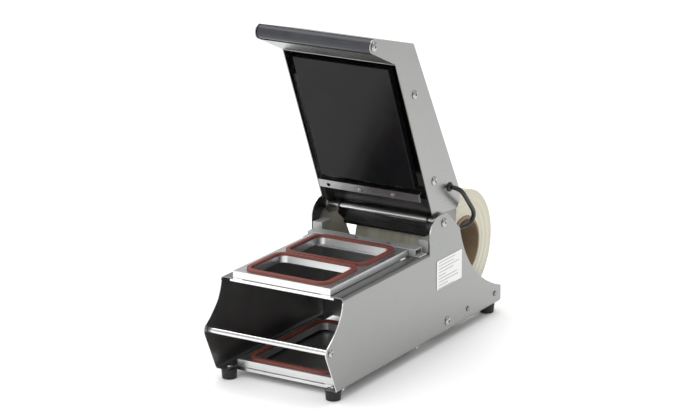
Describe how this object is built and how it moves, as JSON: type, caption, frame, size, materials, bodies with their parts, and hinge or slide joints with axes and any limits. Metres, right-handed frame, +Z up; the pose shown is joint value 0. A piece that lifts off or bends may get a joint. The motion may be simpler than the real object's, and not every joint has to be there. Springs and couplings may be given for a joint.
{
  "type": "manual tray sealer",
  "caption": "Bench-top manual tray heat sealer: open steel base with lift-out tray die, spare die below, film roll behind and a hinged heated lid with a bar handle",
  "frame": {"origin": "on the bench under the middle of the machine's overall box, midway between the side plates and midway between the front of the side plates and the back of the film roll", "axes": "+Z up from the bench; -Y towards the operator, who stands at the open front; +Y towards the film roll; +X to the operator's right, the side with the link cable and the label"},
  "size_m": [0.2158, 0.5242, 0.4891],
  "materials": {
    "sheet_steel": "satin",
    "bright_steel": "polished",
    "dark_steel": "satin",
    "aluminium": "satin",
    "ptfe_coating": "satin",
    "red_silicone": "matte",
    "handle_plastic": "matte",
    "black_rubber": "matte",
    "black_plastic": "matte",
    "clear_film": "gloss",
    "core_board": "matte",
    "label_vinyl": "satin",
    "red_plastic": "gloss"
  },
  "bodies": {
    "base": {"base_shell": "sheet_steel", "front_bar": "bright_steel", "front_bar_screw_left": "bright_steel", "front_bar_screw_right": "bright_steel", "hinge_rod": "bright_steel", "hinge_screw_left": "bright_steel", "hinge_screw_right": "bright_steel", "hinge_bush_left": "dark_steel", "hinge_bush_right": "dark_steel", "tie_bar": "sheet_steel", "tie_screw_left": "bright_steel", "tie_screw_right": "bright_steel", "foot_front_left": "black_rubber", "foot_front_right": "black_rubber", "foot_rear_left": "black_rubber", "foot_rear_right": "black_rubber", "foot_screw_front_left": "bright_steel", "foot_screw_front_right": "bright_steel", "foot_screw_rear_left": "bright_steel", "foot_screw_rear_right": "bright_steel", "front_die_rail": "aluminium", "rear_die_rail": "aluminium", "front_store_rail": "aluminium", "rear_store_rail": "aluminium", "film_bar": "aluminium", "side_rail_left": "aluminium", "side_rail_right": "aluminium", "film_guide": "dark_steel", "junction_box": "black_plastic", "mains_gland": "black_plastic", "cable_grommet": "black_rubber", "rating_label": "label_vinyl", "link_cable": "black_rubber"},
    "die_in_use": {"upper_die": "aluminium", "upper_gasket_front": "red_silicone", "upper_gasket_rear": "red_silicone"},
    "die_in_store": {"spare_die": "aluminium", "spare_gasket": "red_silicone"},
    "film": {"film_roll": "clear_film", "film_core": "core_board"},
    "roller_front": {"support_roller_front": "sheet_steel"},
    "roller_rear": {"support_roller_rear": "sheet_steel"},
    "lid": {"lid_shell": "sheet_steel", "hinge_arm_left": "sheet_steel", "hinge_arm_right": "sheet_steel", "lid_screw_front_left": "bright_steel", "lid_screw_front_right": "bright_steel", "lid_screw_rear_left": "bright_steel", "lid_screw_rear_right": "bright_steel", "handle_tube": "handle_plastic", "handle_screw_left": "bright_steel", "handle_screw_right": "bright_steel", "hot_plate": "ptfe_coating", "plate_carrier": "dark_steel", "clamp_screw_1": "bright_steel", "clamp_screw_2": "bright_steel", "lid_gland": "black_plastic"},
    "clamp": {"clamp_bar": "aluminium"},
    "knob": {"thermostat_knob": "black_plastic"},
    "rocker": {"power_rocker": "red_plastic"}
  },
  "joints": [
    {"name": "lid_hinge", "type": "hinge", "parent": "base", "child": "lid", "pos_m": [0, 0.06157, 0.1832], "axis": [1, 0, 0], "range_deg": [0, 68]},
    {"name": "clamp_travel", "type": "slide", "parent": "lid", "child": "clamp", "axis": [0, 0.9272, 0.3746], "range_m": [0, 0.003], "stiffness_N_per_m": 1500, "springref_m": -0.002},
    {"name": "knob_turn", "type": "hinge", "parent": "lid", "child": "knob", "pos_m": [0.045, 0.00946, 0.4156], "axis": [0, 0.8728, 0.4881], "range_deg": [0, 270]},
    {"name": "rocker_press", "type": "hinge", "parent": "lid", "child": "rocker", "pos_m": [-0.045, 0.00946, 0.4156], "axis": [1, 0, 0], "range_deg": [-16, 0]},
    {"name": "die_lift", "type": "slide", "parent": "base", "child": "die_in_use", "axis": [0, 0, -1], "range_m": [-0.06, 0]},
    {"name": "store_slide", "type": "slide", "parent": "base", "child": "die_in_store", "axis": [0, -1, 0], "range_m": [0, 0.265]},
    {"name": "film_spin", "type": "hinge", "parent": "base", "child": "film", "pos_m": [0, 0.17713, 0.11263], "axis": [1, 0, 0], "continuous": true},
    {"name": "roller_front_spin", "type": "hinge", "parent": "base", "child": "roller_front", "pos_m": [0, 0.13537, 0.032], "axis": [1, 0, 0], "continuous": true},
    {"name": "roller_rear_spin", "type": "hinge", "parent": "base", "child": "roller_rear", "pos_m": [0, 0.21887, 0.032], "axis": [1, 0, 0], "continuous": true}
  ],
  "couplings": [
    {"joint": "roller_front_spin", "follows": "film_spin", "ratio": -15.454},
    {"joint": "roller_rear_spin", "follows": "film_spin", "ratio": -15.454}
  ]
}
